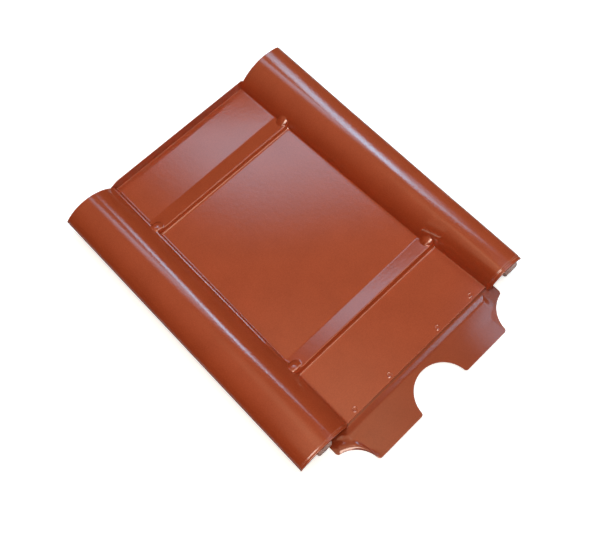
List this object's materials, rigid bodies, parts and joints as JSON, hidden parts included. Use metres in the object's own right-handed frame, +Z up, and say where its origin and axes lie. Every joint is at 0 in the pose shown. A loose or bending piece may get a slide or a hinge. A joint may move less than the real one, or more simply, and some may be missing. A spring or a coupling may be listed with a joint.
{
  "type": "sheet metal roof tile",
  "caption": "Pressed sheet-metal roof tile with a roll along each side, a flat ribbed pan between them and a scalloped apron plate under its foot edge.",
  "frame": {"origin": "centre of the bounding box on the floor that the tile lies on", "axes": "+X across the tile, +Y from the foot (apron end) to the head (upstand end), +Z up, away from the roof"},
  "size_m": [0.3776, 0.4906, 0.0327],
  "materials": {
    "painted_sheet": "brick-red powder coat, satin with a fine texture",
    "foam": "matt grey foam"
  },
  "bodies": {
    "root": {"tile_sheet": "painted_sheet", "apron_plate": "painted_sheet", "left_seal": "foam", "right_seal": "foam"}
  },
  "joints": []
}
